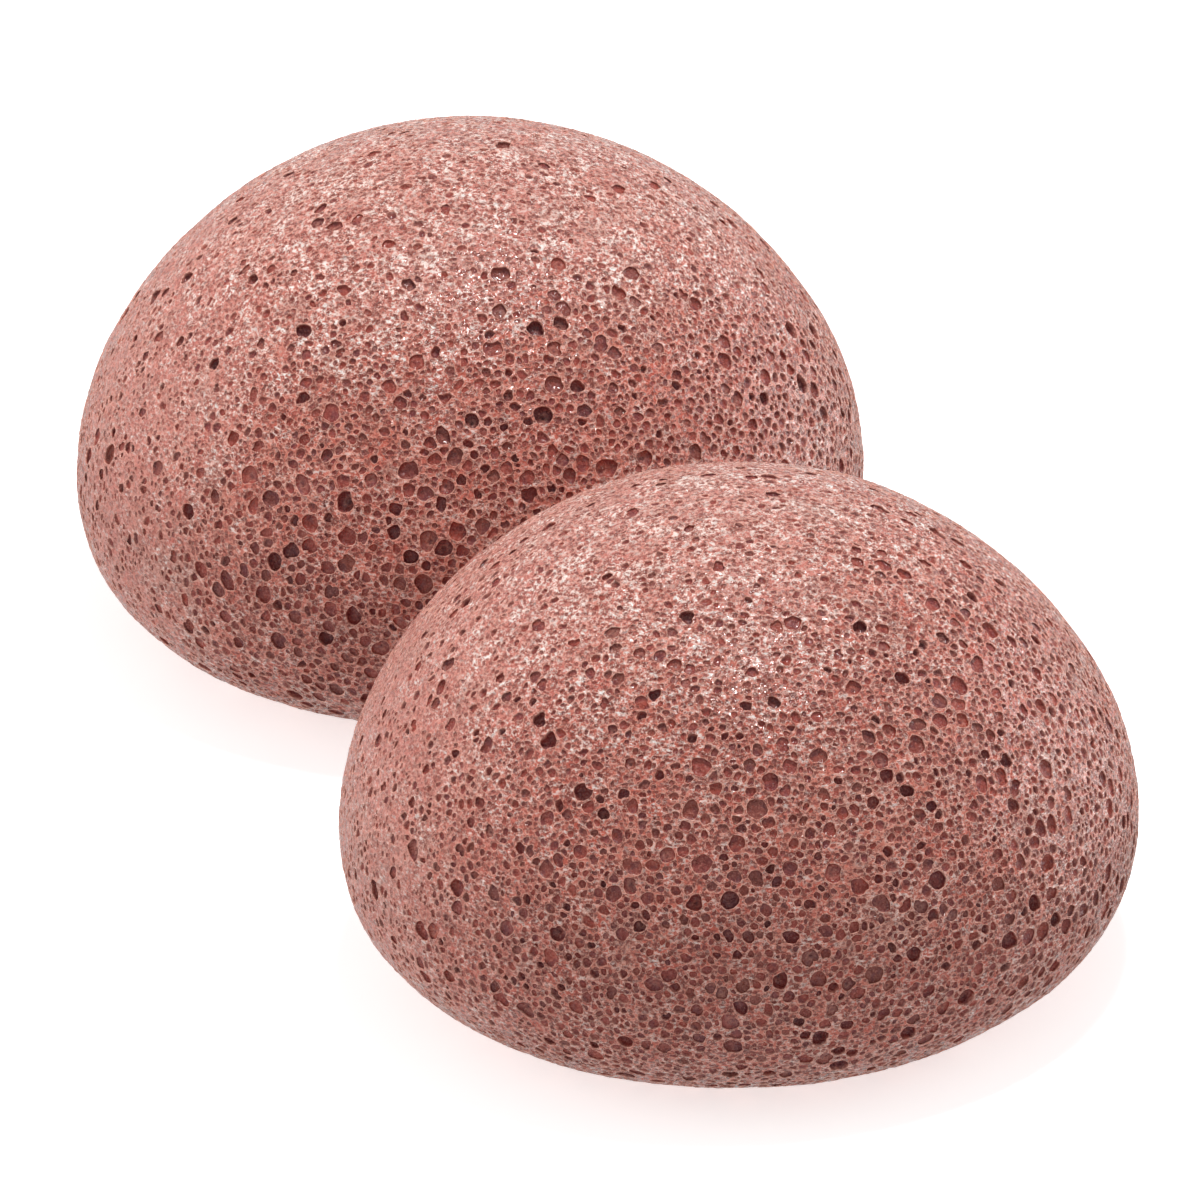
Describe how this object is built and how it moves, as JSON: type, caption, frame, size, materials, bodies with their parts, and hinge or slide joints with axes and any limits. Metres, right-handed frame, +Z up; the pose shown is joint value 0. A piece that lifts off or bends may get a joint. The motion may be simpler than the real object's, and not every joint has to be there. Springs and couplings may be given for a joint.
{
  "type": "konjac sponge",
  "caption": "Pair of half-ball konjac facial sponges: domed cakes of damp open-pored foam with a flat base and a rounded bottom edge, standing side by side.",
  "frame": {"origin": "middle of the pair's bounding box, on the surface that the sponges stand on", "axes": "+Z up, square to the flat bases; +Y from the front sponge towards the rear one's side; +X to the right of someone who looks along +Y"},
  "size_m": [0.1062, 0.1562, 0.0494],
  "materials": {
    "konjac_foam": "damp open-pored foam, satin skin with wet glints, pink-brown red clay colour"
  },
  "bodies": {
    "front": {"front_sponge": "konjac_foam"},
    "rear": {"rear_sponge": "konjac_foam"}
  },
  "joints": [
    {"name": "rear_lift", "type": "slide", "parent": "front", "child": "rear", "axis": [0, 0, 1], "range_m": [0, 0.06]}
  ]
}
